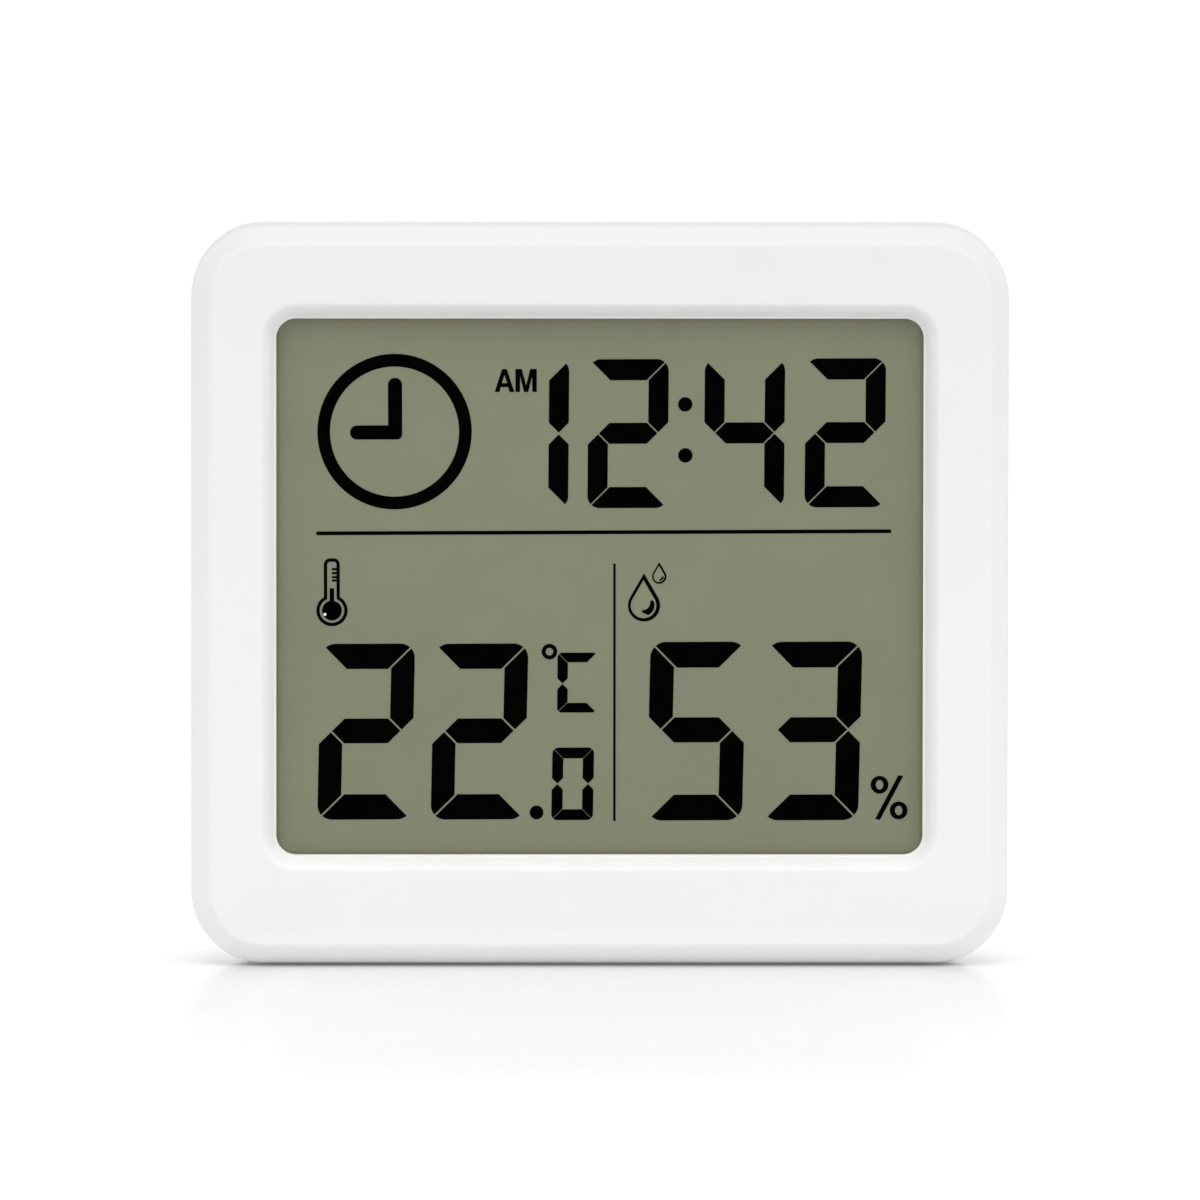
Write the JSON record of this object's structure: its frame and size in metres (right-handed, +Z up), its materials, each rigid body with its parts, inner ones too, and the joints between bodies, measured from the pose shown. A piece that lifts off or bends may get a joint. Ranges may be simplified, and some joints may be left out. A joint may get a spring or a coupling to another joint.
{
  "type": "table hygrometer",
  "caption": "Slim white tabletop hygrometer with thermometer and clock: recessed grey-green display, rear keys, coin-cell door and fold-out stand leg.",
  "frame": {"origin": "centre of the case's footprint, on the surface that the case stands on", "axes": "+Z up, -Y out of the display towards the reader, +X to the reader's right"},
  "size_m": [0.079, 0.012, 0.0714],
  "materials": {
    "case_white": "moulded white plastic with a fine matte texture",
    "key_white": "moulded off-white plastic",
    "display_film": "grey-green polariser film with a matte hard coat",
    "display_glass": "thin display glass",
    "reflector": "silver-grey reflective film",
    "conductive_rubber": "layered conductive rubber",
    "foam": "soft black foam",
    "board": "green solder mask",
    "resin": "black potting resin",
    "steel": "plated steel",
    "contact_spring": "plated spring bronze",
    "ceramic": "brown ceramic",
    "black_plastic": "black moulded plastic"
  },
  "bodies": {
    "case": {"front_case": "case_white", "rear_cover": "case_white", "lcd_front_polariser": "display_film", "lcd_front_glass": "display_glass", "lcd_rear_glass": "display_glass", "lcd_reflector": "reflector", "zebra_strip": "conductive_rubber", "foam_strip": "foam", "main_board": "board", "driver_chip": "resin", "crystal": "steel", "climate_sensor": "black_plastic", "capacitor_1": "ceramic", "capacitor_2": "ceramic", "capacitor_3": "ceramic", "coin_cell": "steel", "cell_holder": "black_plastic", "positive_contact": "contact_spring", "negative_contact": "contact_spring", "set_switch": "black_plastic", "adjust_switch": "black_plastic", "case_screw_1": "steel", "case_screw_2": "steel", "case_screw_3": "steel", "case_screw_4": "steel", "board_screw_1": "steel", "board_screw_2": "steel", "board_screw_3": "steel", "board_screw_4": "steel"},
    "stand": {"stand_leg": "case_white"},
    "cell_door": {"battery_door": "case_white"},
    "set_key": {"set_button": "key_white", "set_switch_plunger": "black_plastic"},
    "adjust_key": {"adjust_button": "key_white", "adjust_switch_plunger": "black_plastic"}
  },
  "joints": [
    {"name": "stand_fold", "type": "hinge", "parent": "case", "child": "stand", "pos_m": [0, 0.0047, 0.03359], "axis": [1, 0, 0], "range_deg": [0, 35]},
    {"name": "battery_door_turn", "type": "hinge", "parent": "case", "child": "cell_door", "pos_m": [-0.0195, 0.0052, 0.05275], "axis": [0, 1, 0], "range_deg": [0, 40]},
    {"name": "set_key_press", "type": "slide", "parent": "case", "child": "set_key", "axis": [0, -1, 0], "range_m": [0, 0.0004], "stiffness_N_per_m": 1000},
    {"name": "adjust_key_press", "type": "slide", "parent": "case", "child": "adjust_key", "axis": [0, -1, 0], "range_m": [0, 0.0004], "stiffness_N_per_m": 1000}
  ]
}
